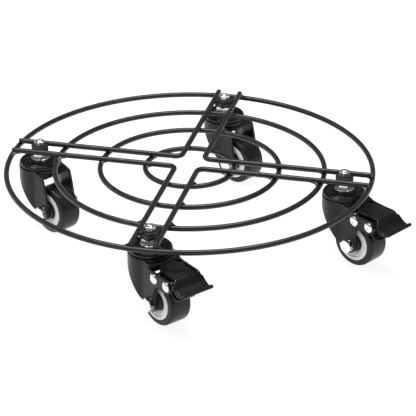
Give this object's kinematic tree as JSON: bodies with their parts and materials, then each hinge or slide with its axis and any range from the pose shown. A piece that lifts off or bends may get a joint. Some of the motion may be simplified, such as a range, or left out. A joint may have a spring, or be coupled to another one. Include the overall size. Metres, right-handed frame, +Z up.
{
  "type": "plant pot caddy",
  "caption": "Round open wire caddy of concentric rings and crossed wire arms, rolling a plant pot on swivel casters, some with a pedal brake.",
  "frame": {"origin": "on the floor, straight below the centre of the wire deck", "axes": "+Z up; +X and -Y point along the two arms whose casters have brakes"},
  "size_m": [0.3395, 0.3292, 0.0761],
  "materials": {
    "powder_coated_wire": "satin black powder coat",
    "powder_coated_plate": "satin black powder coat",
    "zinc": "bright zinc plate",
    "bearing_steel": "polished",
    "black_enamel": "gloss black enamel",
    "shoe_steel": "dark plated spring steel",
    "tread": "satin black",
    "wheel_plastic": "moulded black",
    "white_trim": "glossy white",
    "bush_steel": "plain steel"
  },
  "bodies": {
    "deck": {"ring_outer": "powder_coated_wire", "ring_second": "powder_coated_wire", "ring_third": "powder_coated_wire", "ring_inner": "powder_coated_wire", "cross_wire_right_back": "powder_coated_wire", "cross_wire_back_left": "powder_coated_wire", "cross_wire_left_front": "powder_coated_wire", "cross_wire_front_right": "powder_coated_wire", "mounting_plate_right": "powder_coated_plate", "mounting_plate_back": "powder_coated_plate", "mounting_plate_left": "powder_coated_plate", "mounting_plate_front": "powder_coated_plate", "stem_nuts": "zinc", "stem_right": "zinc", "stem_back": "zinc", "stem_left": "zinc", "stem_front": "zinc", "swivel_cap_right": "black_enamel", "swivel_cap_back": "black_enamel", "swivel_cap_left": "black_enamel", "swivel_cap_front": "black_enamel"},
    "swivel_right": {"swivel_balls_right": "bearing_steel", "fork_right": "black_enamel", "axle_bolt_right": "zinc", "axle_nut_right": "zinc", "brake_rivets_right": "zinc"},
    "wheel_right": {"tread_right": "tread", "wheel_core_right": "wheel_plastic", "trim_rings_right": "white_trim", "axle_bush_right": "bush_steel"},
    "pedal_right": {"brake_pedal_right": "black_enamel"},
    "shoe_right": {"brake_shoe_right": "shoe_steel"},
    "swivel_back": {"swivel_balls_back": "bearing_steel", "fork_back": "black_enamel", "axle_bolt_back": "zinc", "axle_nut_back": "zinc"},
    "wheel_back": {"tread_back": "tread", "wheel_core_back": "wheel_plastic", "trim_rings_back": "white_trim", "axle_bush_back": "bush_steel"},
    "swivel_left": {"swivel_balls_left": "bearing_steel", "fork_left": "black_enamel", "axle_bolt_left": "zinc", "axle_nut_left": "zinc"},
    "wheel_left": {"tread_left": "tread", "wheel_core_left": "wheel_plastic", "trim_rings_left": "white_trim", "axle_bush_left": "bush_steel"},
    "swivel_front": {"swivel_balls_front": "bearing_steel", "fork_front": "black_enamel", "axle_bolt_front": "zinc", "axle_nut_front": "zinc", "brake_rivets_front": "zinc"},
    "wheel_front": {"tread_front": "tread", "wheel_core_front": "wheel_plastic", "trim_rings_front": "white_trim", "axle_bush_front": "bush_steel"},
    "pedal_front": {"brake_pedal_front": "black_enamel"},
    "shoe_front": {"brake_shoe_front": "shoe_steel"}
  },
  "joints": [
    {"name": "swivel_turn_right", "type": "hinge", "parent": "deck", "child": "swivel_right", "pos_m": [0.1285, 0, 0.052], "axis": [0, 0, 1], "continuous": true},
    {"name": "wheel_spin_right", "type": "hinge", "parent": "swivel_right", "child": "wheel_right", "pos_m": [0.14479, -0.00979, 0.02], "axis": [0.515, 0.8572, 0], "continuous": true},
    {"name": "brake_press_right", "type": "hinge", "parent": "swivel_right", "child": "pedal_right", "pos_m": [0.16193, -0.02009, 0.043], "axis": [0.515, 0.8572, 0], "range_deg": [0, 14]},
    {"name": "shoe_close_right", "type": "hinge", "parent": "swivel_right", "child": "shoe_right", "pos_m": [0.14907, -0.01236, 0.0436], "axis": [0.515, 0.8572, 0], "range_deg": [0, 7]},
    {"name": "swivel_turn_back", "type": "hinge", "parent": "deck", "child": "swivel_back", "pos_m": [0, 0.1285, 0.052], "axis": [0, 0, 1], "continuous": true},
    {"name": "wheel_spin_back", "type": "hinge", "parent": "swivel_back", "child": "wheel_back", "pos_m": [0.01629, 0.11871, 0.02], "axis": [0.515, 0.8572, 0], "continuous": true},
    {"name": "swivel_turn_left", "type": "hinge", "parent": "deck", "child": "swivel_left", "pos_m": [-0.1285, 0, 0.052], "axis": [0, 0, 1], "continuous": true},
    {"name": "wheel_spin_left", "type": "hinge", "parent": "swivel_left", "child": "wheel_left", "pos_m": [-0.11257, -0.01035, 0.02], "axis": [0.5446, 0.8387, 0], "continuous": true},
    {"name": "swivel_turn_front", "type": "hinge", "parent": "deck", "child": "swivel_front", "pos_m": [0, -0.1285, 0.052], "axis": [0, 0, 1], "continuous": true},
    {"name": "wheel_spin_front", "type": "hinge", "parent": "swivel_front", "child": "wheel_front", "pos_m": [0.01497, -0.1402, 0.02], "axis": [0.6157, 0.788, 0], "continuous": true},
    {"name": "brake_press_front", "type": "hinge", "parent": "swivel_front", "child": "pedal_front", "pos_m": [0.03073, -0.15251, 0.043], "axis": [0.6157, 0.788, 0], "range_deg": [0, 14]},
    {"name": "shoe_close_front", "type": "hinge", "parent": "swivel_front", "child": "shoe_front", "pos_m": [0.01891, -0.14328, 0.0436], "axis": [0.6157, 0.788, 0], "range_deg": [0, 7]}
  ],
  "couplings": [
    {"joint": "shoe_close_right", "follows": "brake_press_right", "ratio": 0.5},
    {"joint": "shoe_close_front", "follows": "brake_press_front", "ratio": 0.5}
  ]
}
